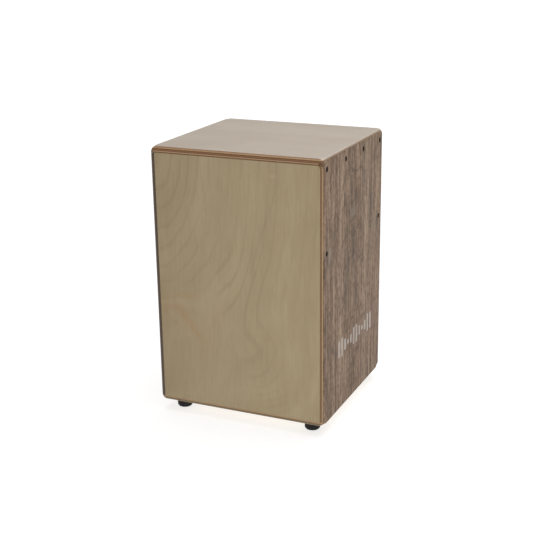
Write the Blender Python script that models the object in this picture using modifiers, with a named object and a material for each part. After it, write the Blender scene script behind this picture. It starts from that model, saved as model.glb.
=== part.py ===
"""Cajon: a box drum with a thin glued front plate, mitred plywood shell and rubber feet.

Units are metres and +Z is up. The origin is on the ground under the middle of the box. The front
(playing) plate faces -Y, the rear plate with the sound hole faces +Y, and the screwed side boards
face -X and +X.
"""

import math

import bmesh
import bpy
from mathutils import Matrix, Vector

# ---------------------------------------------------------------- driving dimensions
BODY_W = 0.318          # outside width, along X
BODY_D = 0.300          # outside depth, along Y
BODY_H = 0.470          # height of the wooden box, without its feet
GAP = 0.0003            # clearance between pieces that touch

SHELL_T = 0.010         # top, bottom and side boards
FRONT_T = 0.003         # playing plate
REAR_T = 0.004          # rear plate
EDGE_R = 0.007          # rounding round the front and rear faces
TOP_LONG_R = 0.006      # rounding of the long edges from front to rear, along the seat
BOTTOM_LONG_R = 0.004   # and along the bottom
TOP_CORNER_R = 0.012    # upper corners of the flat front and rear faces
BOTTOM_CORNER_R = 0.009  # and their lower corners
PLATE_CORNER_R = 0.009  # upper corners of the two plates
ARC_STEPS = 6           # segments in each quarter round

BATTEN = 0.018          # square battens inside the box

HOLE_D = 0.120          # sound hole
HOLE_RISE = 0.040       # its centre above the middle of the box
HOLE_CHAMFER = 0.001
HOLE_STEPS = 48

HEAD_R = 0.0045         # countersunk screws
HEAD_RIM = 0.0006
HEAD_H = 0.0032
SHANK_R = 0.0020
TIP_H = 0.004
SINK = 0.0002           # screw heads lie this far below the surface
SCREW_COVER = 0.005     # wood left beyond the tips of the side and rear screws
TIP_SHARE = 0.25        # radius left at a screw's blunt tip, as a share of its shank
SIDE_SCREW_FRONT = 0.016     # from the front face
SIDE_SCREW_REAR = 0.019      # from the rear face
SIDE_SCREW_DROP = 0.019      # upper row, below the top of the box
SIDE_SCREW_LOW_DROP = 0.161  # lower pair, below the top of the box
SIDE_SCREW_ROW = 4           # screws in the upper row
REAR_SCREW_DROP = 0.036      # corner screws of the rear plate, from its top and bottom
RECESS_W = 0.0009            # arms of the cross recess
RECESS_L = 0.0050
RECESS_H = 0.0018
SCREW_STEPS = 12

FOOT_H = 0.020          # rubber feet
FOOT_R = 0.014
FOOT_TOE_R = 0.0115     # where the foot's side turns into its sole
FOOT_ROUND = 0.0035
FOOT_INSET = 0.032      # foot axis from the outside faces
FOOT_WELL_R = 0.0055    # well that hides the screw head
FOOT_WELL_H = 0.010
FOOT_SIDE_H = 0.005     # upright part of a foot's side
FOOT_STEPS = 24
FOOT_TOE_STEPS = 4
PAN_R = 0.0040          # pan-head screws
PAN_H = 0.0026
PAN_CROWN_R = 0.70      # flat top of a pan head, as a share of its radius
PAN_SIDE_H = 0.55       # and its upright side, as a share of its height
PAN_TIP_H = 2.0         # taper of a pan-head screw's tip, in shank radii
FOOT_SCREW_COVER = 0.002     # wood left above the tip of a foot screw

SNARE_DROP = 0.140      # snare bar's centre, below the top of the box
SNARE_BAR_T = 0.014
SNARE_BAR_H = 0.020
SNARE_STANDOFF = 0.006  # space between the playing plate and the snare bar
SNARE_X = 0.060         # middle of each snare, from the centre line
SNARE_TILT = math.radians(20.0)
SNARE_PLATE_H = 0.014
SNARE_PLATE_T = 0.0012
SNARE_WIRES = 10
SNARE_PITCH = 0.0045
SNARE_WIRE_R = 0.0007
SNARE_WIRE_STEPS = 6
SNARE_CLEAR = 0.0001    # beyond the usual clearance, where the wires' ends meet the plate
SNARE_EAR = 0.0044      # holder plate past the wires at each end, for its screws
SNARE_SCREW_INSET = 0.0033
SNARE_WIRE_L = 0.085
SNARE_SCREW_R = 0.0012
SNARE_SCREW_L = 0.009
SNARE_SCREW_HEAD_R = 0.0022
SNARE_SCREW_HEAD_H = 0.0014

CUT_OVER = 0.001        # how far cutters reach past the faces that they open

# ---------------------------------------------------------------- derived places
BASE_Z = FOOT_H
TOP_Z = BASE_Z + BODY_H
MID_Z = BASE_Z + BODY_H / 2
INNER_X = BODY_W / 2 - SHELL_T
FRONT_IN_Y = -BODY_D / 2 + FRONT_T
REAR_IN_Y = BODY_D / 2 - REAR_T
FLOOR_IN_Z = BASE_Z + SHELL_T
ROOF_IN_Z = TOP_Z - SHELL_T
MITRE_SHIFT = GAP / math.sqrt(2)   # each half of the gap across a 45 degree mitre
POST_X = INNER_X - GAP - BATTEN / 2
POST_FRONT_Y = FRONT_IN_Y + GAP + BATTEN / 2
POST_REAR_Y = REAR_IN_Y - GAP - BATTEN / 2
RAIL_TOP_Z = ROOF_IN_Z - GAP - BATTEN / 2
RAIL_BOTTOM_Z = FLOOR_IN_Z + GAP + BATTEN / 2
SIDE_SCREW_L = SHELL_T + BATTEN - SCREW_COVER
REAR_SCREW_L = REAR_T + BATTEN - SCREW_COVER
FACE_OUT = {  # turns a screw's +Z, which points out of its head, to the face it sits in
    "+X": Matrix.Rotation(math.pi / 2, 4, "Y"),
    "-X": Matrix.Rotation(-math.pi / 2, 4, "Y"),
    "+Y": Matrix.Rotation(-math.pi / 2, 4, "X"),
    "-Y": Matrix.Rotation(math.pi / 2, 4, "X"),
    "-Z": Matrix.Rotation(math.pi, 4, "X"),
}

# ---------------------------------------------------------------- scene and collections
for old in list(bpy.data.objects):
    bpy.data.objects.remove(old, do_unlink=True)

parts = bpy.data.collections.new("cajon")
cutters = bpy.data.collections.new("cajon_cutters")
for collection in (parts, cutters):
    bpy.context.scene.collection.children.link(collection)

frame = bpy.data.objects.new("cajon_frame", None)
parts.objects.link(frame)


# ---------------------------------------------------------------- materials
def principled(name, colour, roughness, metallic=0.0):
    """A Principled material with a linear base colour."""
    material = bpy.data.materials.new(name)
    material.use_nodes = True
    shader = material.node_tree.nodes["Principled BSDF"]
    shader.inputs["Base Color"].default_value = (*colour, 1.0)
    shader.inputs["Roughness"].default_value = roughness
    shader.inputs["Metallic"].default_value = metallic
    return material


MATERIALS = {
    "birch_face": principled("birch_face", (0.36, 0.28, 0.18), 0.45),
    "seat_face": principled("seat_face", (0.52, 0.44, 0.36), 0.40),
    "rustic_veneer": principled("rustic_veneer", (0.22, 0.15, 0.11), 0.55),
    "raw_ply": principled("raw_ply", (0.42, 0.31, 0.19), 0.65),
    "pine_batten": principled("pine_batten", (0.55, 0.40, 0.24), 0.65),
    "black_screw": principled("black_screw", (0.02, 0.018, 0.016), 0.45, 1.0),
    "rubber": principled("rubber", (0.02, 0.018, 0.018), 0.80),
    "snare_steel": principled("snare_steel", (0.62, 0.62, 0.64), 0.30, 1.0),
}


# ---------------------------------------------------------------- modelling helpers
def add_object(name, mesh, material=None, collection=parts):
    """Link a mesh as a new object, under the frame when it is a part."""
    obj = bpy.data.objects.new(name, mesh)
    collection.objects.link(obj)
    if material is not None:
        obj.data.materials.clear()
        obj.data.materials.append(MATERIALS[material])
        obj.parent = frame
    if collection is cutters:
        obj.hide_render = True
        obj.display_type = "WIRE"
    return obj


def box_bmesh(size):
    """A box of the given size round the origin, as a bmesh."""
    bm = bmesh.new()
    bmesh.ops.create_cube(bm, size=1.0)
    bmesh.ops.scale(bm, vec=Vector(size), verts=bm.verts)
    return bm


def to_mesh(bm, name):
    """Turn a bmesh into a mesh and free it."""
    mesh = bpy.data.meshes.new(name)
    bm.to_mesh(mesh)
    bm.free()
    return mesh


def box(name, size, centre, material=None, collection=parts):
    """A plain box placed by its object's location."""
    obj = add_object(name, to_mesh(box_bmesh(size), name), material, collection)
    obj.location = centre
    return obj


def boolean(obj, other, operation="DIFFERENCE"):
    """Cut, join or intersect an object with another one."""
    modifier = obj.modifiers.new(f"{operation.lower()}_{other.name}", "BOOLEAN")
    modifier.operation = operation
    modifier.solver = "EXACT"
    modifier.object = other


def turned(name, profile, steps, closed=False):
    """A shape turned about Z from (radius, height) points that run down its outer side."""
    mesh = bpy.data.meshes.new(name)
    points = [(radius, 0.0, height) for radius, height in profile]
    edges = [(i, i + 1) for i in range(len(points) - 1)]
    if closed:
        edges.append((len(points) - 1, 0))
    mesh.from_pydata(points, edges, [])
    obj = add_object(name, mesh, collection=cutters)
    screw = obj.modifiers.new("turn", "SCREW")
    screw.steps = steps
    screw.render_steps = steps
    screw.use_merge_vertices = True
    screw.merge_threshold = 0.00001
    return obj


def baked(obj, name):
    """The object's evaluated mesh, shaded smooth between its sharp edges."""
    bpy.context.view_layer.update()
    depsgraph = bpy.context.evaluated_depsgraph_get()
    mesh = bpy.data.meshes.new_from_object(obj.evaluated_get(depsgraph))
    mesh.name = name
    mesh.shade_smooth()
    mesh.set_sharp_from_angle(angle=math.radians(30.0))
    bpy.data.objects.remove(obj, do_unlink=True)
    return mesh


def drill(board, hole_mesh, places):
    """Cut one hole in a board at each place matrix, with a single cutter that holds them all."""
    bm = bmesh.new()
    for place in places:
        bm.from_mesh(hole_mesh)
        bm.verts.ensure_lookup_table()
        fresh = bm.verts[-len(hole_mesh.vertices):]
        bmesh.ops.transform(bm, matrix=place, verts=fresh)
    name = f"{board.name}_holes_{len(board.modifiers)}"
    boolean(board, add_object(name, to_mesh(bm, name), collection=cutters))


def quarter(steps):
    """Sine and cosine over a quarter turn, in equal steps."""
    angles = [math.pi / 2 * i / steps for i in range(steps + 1)]
    return [(math.sin(a), math.cos(a)) for a in angles]


# ---------------------------------------------------------------- rounded outside of the box
def rounded_section(y, inset):
    """One XZ outline of the box: a rectangle inset from its sides, with rounded corners.

    The corners open from the radius of the long edges to that of the front and rear faces.
    """
    points = []
    for turn, (sign_x, sign_z) in enumerate(((1, 1), (-1, 1), (-1, -1), (1, -1))):
        edge, corner = (TOP_LONG_R, TOP_CORNER_R) if sign_z > 0 else (BOTTOM_LONG_R, BOTTOM_CORNER_R)
        radius = edge + (corner - edge) * inset / EDGE_R
        centre_x = sign_x * (BODY_W / 2 - inset - radius)
        centre_z = sign_z * (BODY_H / 2 - inset - radius)
        for step in range(ARC_STEPS + 1):
            angle = math.pi / 2 * (turn + step / ARC_STEPS)
            x = centre_x + radius * math.cos(angle)
            z = centre_z + radius * math.sin(angle)
            points.append(Vector((x, y, z)))
    return points


def make_envelope():
    """The rounded outside of the whole box, lofted through sections from front to rear."""
    bm = bmesh.new()
    sections = []
    for sine, cosine in quarter(ARC_STEPS):
        sections.append((-BODY_D / 2 + EDGE_R * (1 - sine), EDGE_R * (1 - cosine)))
    sections = [(y, inset) for y, inset in reversed(sections)]
    sections += [(-y, inset) for y, inset in reversed(sections)]
    rings = [[bm.verts.new(p) for p in rounded_section(y, inset)] for y, inset in sections]
    count = len(rings[0])
    for near, far in zip(rings, rings[1:]):
        for i in range(count):
            j = (i + 1) % count
            bm.faces.new((near[i], near[j], far[j], far[i]))
    bm.faces.new(rings[0])
    bm.faces.new(rings[-1])
    bmesh.ops.recalc_face_normals(bm, faces=bm.faces)
    obj = add_object("envelope", to_mesh(bm, "envelope"), collection=cutters)
    obj.location = (0.0, 0.0, MID_Z)
    return obj


# ---------------------------------------------------------------- shell boards
def mitred_board(name, thin, outward, along, length, material):
    """A board of the shell whose ends are cut back at 45 degrees towards its inner face.

    thin and along are the axis numbers of its thickness and of its mitred length, and outward is
    the sign of its outer face along the thin axis. It starts a little too thick and too long, and
    the envelope trims it to the rounded outside of the box.
    """
    outside = (BODY_W, BODY_D, BODY_H)
    size = [BODY_D + 2 * CUT_OVER] * 3
    size[thin] = SHELL_T + CUT_OVER
    size[along] = length + 2 * CUT_OVER - 2 * MITRE_SHIFT
    bm = box_bmesh(size)
    for vert in bm.verts:
        if vert.co[thin] * outward < 0:
            vert.co[along] -= math.copysign(size[thin], vert.co[along])
    obj = add_object(name, to_mesh(bm, name), material)
    centre = Vector((0.0, 0.0, MID_Z))
    centre[thin] += outward * (outside[thin] / 2 + CUT_OVER - size[thin] / 2)
    obj.location = centre
    boolean(obj, envelope, "INTERSECT")
    return obj


def make_shell():
    """Top, bottom and side boards, with seats for the two plates cut out of their edges."""
    top = mitred_board("top_panel", 2, 1, 0, BODY_W, "seat_face")
    bottom = mitred_board("bottom_panel", 2, -1, 0, BODY_W, "raw_ply")
    sides = {}
    for side, sign in (("left", -1), ("right", 1)):
        sides[side] = mitred_board(f"side_panel_{side}", 0, sign, 2, BODY_H, "rustic_veneer")
    for seat, sign, thickness in (("front_seat", -1, FRONT_T), ("rear_seat", 1, REAR_T)):
        depth = thickness + GAP + CUT_OVER
        seat_h = ROOF_IN_Z - BASE_Z + CUT_OVER
        y = sign * (BODY_D / 2 + CUT_OVER - depth / 2)
        z = ROOF_IN_Z - seat_h / 2
        cutter = box(seat, (BODY_W + 2 * CUT_OVER, depth, seat_h), (0, y, z), collection=cutters)
        for board in (bottom, *sides.values()):
            boolean(board, cutter)
    return top, bottom, sides


def make_plate(name, sign, thickness, material):
    """A plate over the whole box below the top board, with its upper corners rounded.

    sign is the side of Y that it closes. The envelope trims it like the boards.
    """
    height = BODY_H - SHELL_T - GAP + CUT_OVER
    depth = thickness + CUT_OVER
    bm = box_bmesh((BODY_W, depth, height))
    corners = [e for e in bm.edges
               if all(v.co.z > 0 for v in e.verts) and e.verts[0].co.x * e.verts[1].co.x > 0]
    corners = [e for e in corners if e.verts[0].co.y * e.verts[1].co.y < 0]
    bmesh.ops.bevel(bm, geom=corners, offset=PLATE_CORNER_R, segments=ARC_STEPS, profile=0.5,
                    affect="EDGES", clamp_overlap=True)
    obj = add_object(name, to_mesh(bm, name), material)
    obj.location = (0.0, sign * (BODY_D / 2 + CUT_OVER - depth / 2), ROOF_IN_Z - GAP - height / 2)
    boolean(obj, envelope, "INTERSECT")
    return obj


def make_plates():
    """The playing plate and the rear plate with its sound hole."""
    front = make_plate("front_plate", -1, FRONT_T, "birch_face")
    rear = make_plate("rear_plate", 1, REAR_T, "raw_ply")
    reach = REAR_T / 2 + CUT_OVER
    flare = HOLE_D / 2 + HOLE_CHAMFER + CUT_OVER
    waist = REAR_T / 2 - HOLE_CHAMFER
    hole = turned("sound_hole", [(0, reach), (flare, reach), (HOLE_D / 2, waist),
                                 (HOLE_D / 2, -waist), (flare, -reach), (0, -reach)], HOLE_STEPS)
    hole.matrix_world = Matrix.Translation((0, (BODY_D - REAR_T) / 2, MID_Z + HOLE_RISE)) \
        @ FACE_OUT["+Y"]
    boolean(rear, hole)
    return front, rear


# ---------------------------------------------------------------- inside framework
def make_framework():
    """Four posts in the corners, with rails between them under the roof and on the floor."""
    battens = {}
    post_h = ROOF_IN_Z - FLOOR_IN_Z - 2 * GAP
    rail_y = POST_REAR_Y - POST_FRONT_Y - BATTEN - 2 * GAP
    rail_x = 2 * POST_X - BATTEN - 2 * GAP
    mid_y = (POST_REAR_Y + POST_FRONT_Y) / 2
    square = BATTEN
    for x_name, sign in (("left", -1), ("right", 1)):
        for y_name, y in (("front", POST_FRONT_Y), ("rear", POST_REAR_Y)):
            name = f"post_{y_name}_{x_name}"
            battens[name] = box(name, (square, square, post_h), (sign * POST_X, y, MID_Z),
                                "pine_batten")
        for z_name, z in (("upper", RAIL_TOP_Z), ("lower", RAIL_BOTTOM_Z)):
            name = f"rail_{z_name}_{x_name}"
            battens[name] = box(name, (square, rail_y, square), (sign * POST_X, mid_y, z),
                                "pine_batten")
    for y_name, y in (("front", POST_FRONT_Y), ("rear", POST_REAR_Y)):
        for z_name, z in (("upper", RAIL_TOP_Z), ("lower", RAIL_BOTTOM_Z)):
            name = f"rail_{z_name}_{y_name}"
            battens[name] = box(name, (rail_x, square, square), (0, y, z), "pine_batten")
    return battens


# ---------------------------------------------------------------- countersunk screws
def countersunk_profile(length, grow=0.0):
    """Head, shank and tip of a countersunk screw, or its hole when grown by a clearance."""
    top = CUT_OVER + SINK if grow else 0.0
    body = SHANK_R + grow
    tip = [(body, -length - grow)] if grow else [(body, TIP_H - length), (body * TIP_SHARE, -length)]
    return [(0, top), (HEAD_R + grow, top), (HEAD_R + grow, -HEAD_RIM), (body, -HEAD_H),
            *tip, (0, -length - grow)]


def countersunk_meshes(name, length):
    """A screw with a cross recess, and the cutter of its countersunk hole."""
    screw = turned(name, countersunk_profile(length), SCREW_STEPS)
    for turn, size in (("x", (RECESS_L, RECESS_W)), ("y", (RECESS_W, RECESS_L))):
        depth = RECESS_H + CUT_OVER
        arm = box(f"{name}_arm_{turn}", (*size, depth), (0, 0, CUT_OVER - depth / 2),
                  collection=cutters)
        boolean(screw, arm)
    hole = turned(f"{name}_hole", countersunk_profile(length, GAP), SCREW_STEPS)
    return baked(screw, name), baked(hole, f"{name}_hole")


def drive_screws(name, screw_mesh, hole_mesh, board, places):
    """Numbered screws through a board, each into the batten that its place is paired with."""
    for number, (_, place) in enumerate(places, start=1):
        add_object(f"{name}_{number}", screw_mesh, "black_screw").matrix_world = place
    drill(board, hole_mesh, [place for _, place in places])
    for batten in sorted({batten for batten, _ in places}):
        drill(framework[batten], hole_mesh, [place for near, place in places if near == batten])


def side_screw_places(sign):
    """(Y, Z) of each side screw, with the batten that it bites into."""
    side = "left" if sign < 0 else "right"
    first = -BODY_D / 2 + SIDE_SCREW_FRONT
    last = BODY_D / 2 - SIDE_SCREW_REAR
    pitch = (last - first) / (SIDE_SCREW_ROW - 1)
    places = []
    for i in range(SIDE_SCREW_ROW):
        batten = f"rail_upper_{side}"
        if i == 0:
            batten = f"post_front_{side}"
        elif i == SIDE_SCREW_ROW - 1:
            batten = f"post_rear_{side}"
        places.append((first + i * pitch, TOP_Z - SIDE_SCREW_DROP, batten))
    places.append((first, TOP_Z - SIDE_SCREW_LOW_DROP, f"post_front_{side}"))
    places.append((last, TOP_Z - SIDE_SCREW_LOW_DROP, f"post_rear_{side}"))
    return places


def make_side_screws():
    """Six screws through each side board into the battens behind it."""
    screw_mesh, hole_mesh = countersunk_meshes("side_screw", SIDE_SCREW_L)
    for side, sign in (("left", -1), ("right", 1)):
        face = FACE_OUT["+X" if sign > 0 else "-X"]
        places = []
        for y, z, batten in side_screw_places(sign):
            places.append((batten, Matrix.Translation((sign * (BODY_W / 2 - SINK), y, z)) @ face))
        drive_screws(f"side_screw_{side}", screw_mesh, hole_mesh, side_panels[side], places)


def rear_screw_places():
    """(X, Z) of each rear screw, with the batten that it bites into."""
    high = TOP_Z - REAR_SCREW_DROP
    low = BASE_Z + REAR_SCREW_DROP
    places = []
    for side, x in (("left", -POST_X), ("right", POST_X)):
        places += [(x, z, f"post_rear_{side}") for z in (high, MID_Z, low)]
    places.append((0.0, RAIL_TOP_Z, "rail_upper_rear"))
    places.append((0.0, RAIL_BOTTOM_Z, "rail_lower_rear"))
    return places


def make_rear_screws():
    """Eight screws through the rear plate into the framework."""
    screw_mesh, hole_mesh = countersunk_meshes("rear_screw", REAR_SCREW_L)
    places = []
    for x, z, batten in rear_screw_places():
        place = Matrix.Translation((x, BODY_D / 2 - SINK, z)) @ FACE_OUT["+Y"]
        places.append((batten, place))
    drive_screws("rear_screw", screw_mesh, hole_mesh, rear_plate, places)


# ---------------------------------------------------------------- pan-head screws
def pan_mesh(name, head_r, head_h, shank_r, length):
    """A pan-head screw whose head sits on z = 0 and whose shank points down."""
    profile = [(0, head_h), (head_r * PAN_CROWN_R, head_h), (head_r, head_h * PAN_SIDE_H),
               (head_r, 0), (shank_r, 0), (shank_r, shank_r * PAN_TIP_H - length),
               (shank_r * TIP_SHARE, -length), (0, -length)]
    return baked(turned(name, profile, SCREW_STEPS), name)


def pilot_mesh(name, radius, length):
    """A straight hole from just above z = 0 down to its depth."""
    profile = [(0, CUT_OVER), (radius, CUT_OVER), (radius, -length), (0, -length)]
    return baked(turned(name, profile, SCREW_STEPS), name)


# ---------------------------------------------------------------- rubber feet
def foot_profile():
    """Outer side from the top down, round the toe, across the sole and up the screw well."""
    toe = [(FOOT_TOE_R - FOOT_ROUND * (1 - c), FOOT_ROUND * (1 - s) - FOOT_H + GAP)
           for s, c in quarter(FOOT_TOE_STEPS)]
    shank_hole = SHANK_R + GAP
    well_top = FOOT_WELL_H - FOOT_H + GAP
    return [(FOOT_R, 0), (FOOT_R, -FOOT_SIDE_H), *toe, (FOOT_WELL_R, GAP - FOOT_H),
            (FOOT_WELL_R, well_top), (shank_hole, well_top), (shank_hole, 0)]


def make_feet():
    """Four feet under the bottom board, each with the screw that holds it."""
    foot_mesh = baked(turned("foot", foot_profile(), FOOT_STEPS, closed=True), "foot")
    bite = SHELL_T - FOOT_SCREW_COVER
    length = FOOT_H - FOOT_WELL_H + bite
    screw_mesh = pan_mesh("foot_screw", PAN_R, PAN_H, SHANK_R, length)
    hole_mesh = pilot_mesh("foot_pilot", SHANK_R + GAP, bite + 2 * GAP)
    mouths = []
    for y_name, sign_y in (("front", -1), ("rear", 1)):
        for x_name, sign_x in (("left", -1), ("right", 1)):
            x = sign_x * (BODY_W / 2 - FOOT_INSET)
            y = sign_y * (BODY_D / 2 - FOOT_INSET)
            tag = f"{y_name}_{x_name}"
            add_object(f"foot_{tag}", foot_mesh, "rubber").location = (x, y, BASE_Z - GAP)
            place = Matrix.Translation((x, y, FOOT_WELL_H - GAP)) @ FACE_OUT["-Z"]
            add_object(f"foot_screw_{tag}", screw_mesh, "black_screw").matrix_world = place
            mouths.append(Matrix.Translation((x, y, BASE_Z)) @ FACE_OUT["-Z"])
    drill(bottom_panel, hole_mesh, mouths)


# ---------------------------------------------------------------- snares
def snare_wire_bmesh(drop):
    """Straight wires that rise from the holder's middle and lean towards the playing plate."""
    bm = bmesh.new()
    start = Vector((0.0, 0.0, 0.0))
    end = Vector((0.0, -drop, SNARE_WIRE_L))
    direction = end - start
    turn = direction.to_track_quat("Z", "Y").to_matrix().to_4x4()
    for i in range(SNARE_WIRES):
        x = (i - (SNARE_WIRES - 1) / 2) * SNARE_PITCH
        place = Matrix.Translation(Vector((x, 0.0, 0.0)) + (start + end) / 2) @ turn
        bmesh.ops.create_cone(bm, cap_ends=True, segments=SNARE_WIRE_STEPS,
                              radius1=SNARE_WIRE_R, radius2=SNARE_WIRE_R,
                              depth=direction.length, matrix=place)
    return bm


def make_snares():
    """A bar across the box with two sets of wires that lean on the back of the playing plate."""
    bar_y = FRONT_IN_Y + SNARE_STANDOFF + SNARE_BAR_T / 2
    bar_z = TOP_Z - SNARE_DROP
    bar_l = 2 * (POST_X - BATTEN / 2 - GAP)
    bar = box("snare_bar", (bar_l, SNARE_BAR_T, SNARE_BAR_H), (0, bar_y, bar_z), "pine_batten")

    holder_y = FRONT_IN_Y + SNARE_STANDOFF - GAP - SNARE_PLATE_T / 2
    lean = holder_y - (FRONT_IN_Y + GAP + SNARE_WIRE_R + SNARE_CLEAR)
    holder_w = SNARE_WIRES * SNARE_PITCH + 2 * SNARE_EAR
    wires = add_object("snare_wires", to_mesh(snare_wire_bmesh(lean), "snare_wires"),
                       collection=cutters)
    holder = box("snare_holder", (holder_w, SNARE_PLATE_T, SNARE_PLATE_H), (0, 0, 0),
                 collection=cutters)
    boolean(holder, wires, "UNION")
    hole_mesh = pilot_mesh("snare_pilot", SNARE_SCREW_R + GAP, SNARE_SCREW_L + 2 * GAP)
    screw_mesh = pan_mesh("snare_screw", SNARE_SCREW_HEAD_R, SNARE_SCREW_HEAD_H, SNARE_SCREW_R,
                          SNARE_SCREW_L)
    screw_x = holder_w / 2 - SNARE_SCREW_INSET
    face = Matrix.Translation((0, -SNARE_PLATE_T / 2 - GAP, 0)) @ FACE_OUT["-Y"]
    spots = {"outer": Matrix.Translation((screw_x, 0, 0)) @ face,
             "inner": Matrix.Translation((-screw_x, 0, 0)) @ face}
    drill(holder, hole_mesh, spots.values())
    snare_mesh = baked(holder, "snare")

    pilots = []
    for side, sign in (("left", -1), ("right", 1)):
        place = Matrix.Translation((sign * SNARE_X, holder_y, bar_z)) \
            @ Matrix.Rotation(sign * SNARE_TILT, 4, "Y")
        add_object(f"snare_{side}", snare_mesh, "snare_steel").matrix_world = place
        for spot, local in spots.items():
            name = f"snare_screw_{side}_{spot}"
            add_object(name, screw_mesh, "snare_steel").matrix_world = place @ local
            pilots.append(place @ local)
    drill(bar, hole_mesh, pilots)


# ---------------------------------------------------------------- the cajon
envelope = make_envelope()
top_panel, bottom_panel, side_panels = make_shell()
front_plate, rear_plate = make_plates()
framework = make_framework()
make_side_screws()
make_rear_screws()
make_feet()
make_snares()
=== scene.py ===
"""Looks for the cajon: fine boards, plates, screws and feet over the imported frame, and wood, rubber and steel
finishes worked out from Object coordinates. Metres, +Z up, playing plate towards -Y."""

import math
from functools import reduce

import bpy
import numpy as np
from mathutils import Matrix, Vector


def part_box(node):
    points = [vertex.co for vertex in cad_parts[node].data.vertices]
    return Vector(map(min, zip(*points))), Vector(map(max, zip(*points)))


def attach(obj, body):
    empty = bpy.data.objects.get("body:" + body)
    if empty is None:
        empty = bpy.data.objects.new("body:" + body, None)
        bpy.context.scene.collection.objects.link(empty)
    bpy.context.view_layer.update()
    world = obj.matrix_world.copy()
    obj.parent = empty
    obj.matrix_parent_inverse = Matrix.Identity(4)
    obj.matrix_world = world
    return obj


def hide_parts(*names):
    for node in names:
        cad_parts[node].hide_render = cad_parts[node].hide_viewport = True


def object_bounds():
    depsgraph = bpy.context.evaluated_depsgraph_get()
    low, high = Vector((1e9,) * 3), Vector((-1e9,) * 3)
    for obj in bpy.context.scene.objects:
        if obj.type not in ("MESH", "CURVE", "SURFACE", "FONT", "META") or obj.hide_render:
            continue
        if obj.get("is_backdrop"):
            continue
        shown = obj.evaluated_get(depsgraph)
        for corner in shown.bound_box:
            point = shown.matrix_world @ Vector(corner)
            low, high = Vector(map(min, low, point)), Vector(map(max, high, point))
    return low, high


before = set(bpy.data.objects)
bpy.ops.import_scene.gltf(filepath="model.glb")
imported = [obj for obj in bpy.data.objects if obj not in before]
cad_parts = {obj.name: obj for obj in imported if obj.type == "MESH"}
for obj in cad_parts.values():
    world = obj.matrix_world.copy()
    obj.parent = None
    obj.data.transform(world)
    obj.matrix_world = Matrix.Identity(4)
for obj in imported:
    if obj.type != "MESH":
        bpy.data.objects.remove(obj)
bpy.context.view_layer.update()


# ---------------------------------------------------------------- sizes, all from the frame
def corners(node):
    """A node's lowest and highest corners, as arrays."""
    low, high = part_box(node)
    return np.array(low), np.array(high)


SEAT_LOW, SEAT_HIGH = corners("top_panel")
FLOOR_LOW, FLOOR_HIGH = corners("bottom_panel")
SIDE_LOW, SIDE_HIGH = corners("side_panel_right")

HALF_W = SIDE_HIGH[0]
FRONT_Y = SEAT_LOW[1]
REAR_Y = SEAT_HIGH[1]
TOP_Z = SEAT_HIGH[2]
BASE_Z = FLOOR_LOW[2]
ROOF_Z = SEAT_LOW[2]            # underside of the seat board
DECK_Z = FLOOR_HIGH[2]          # upper face of the floor board
MID_Z = (TOP_Z + BASE_Z) / 2
INNER_X = SIDE_LOW[0]           # inner face of a side board
FRONT_T = corners("front_plate")[1][1] - FRONT_Y
REAR_T = REAR_Y - corners("rear_plate")[0][1]

JOINT = 0.00006         # half of a tight glued joint
EDGE_R = 0.007          # rounding round the front and rear faces
TOP_LONG_R = 0.006      # long edges beside the seat
LOW_LONG_R = 0.004      # long edges along the floor
CORNER_R = 0.0105       # outer corners, where the long edges meet the front and rear
CORNER_REACH = 0.012    # how far behind the rounding a corner takes to fade into its long edge
PLATE_CORNER_R = 0.009  # upper corners of both plates
LIP_R = 0.0008          # eased upper edge of both plates
ARRIS = 0.0003          # eased sharp edges of the seat and floor boards
SHARP_TURN = 40         # degrees between two faces whose edge is eased
CRISP_TURN = 20         # degrees between two faces whose edge stays crisp in the shading
ARC = 12                # steps in a quarter round
FINE_ARC = 5            # points in a quarter round less than 2 mm wide
HOLE_R = 0.060          # sound hole
HOLE_Z = MID_Z + 0.040
HOLE_EASE = 0.0012      # rounding of its two rims

SHANK_R = 0.0020        # all screws
HEAD_H = 0.0032         # countersunk head
PAN_H = 0.0026          # pan head
HEAD_CLEAR = 0.0005     # how much wider in radius the countersink is than the head
SHANK_CLEAR = 0.0002    # and the hole than the shank
SCREW_HOLE_L = 0.0125   # through a board of 10 mm
FOOT_TOE_R = 0.0138     # the foot's side where it meets the rounding of its sole
FOOT_WELL_R = 0.0055    # the well in the sole, for the foot's screw

# The finishes reckon in millimetres.
MM = 1000.0
PLY_SHOWS = 0.06, 0.16  # below a plate's face, where its plies come to light
SEAT_FACE_ENDS = 144.2, 144.5  # in front of and behind the middle, where the seat's plies come to light
SIDE_FACE_TURNS = 142.6, 143.2  # where a side's veneer starts to run on over the rounding
MOTIF_Y, MOTIF_H = -80.0, 116.0  # a row of pale printed bars on the right side: its near end and its middle
MOTIF_PITCH, MOTIF_BARS = 15.0, 12.0
MOTIF_TALL, MOTIF_SWING = 11.0, 7.0  # the middle half height of a bar, and how far it varies


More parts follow.
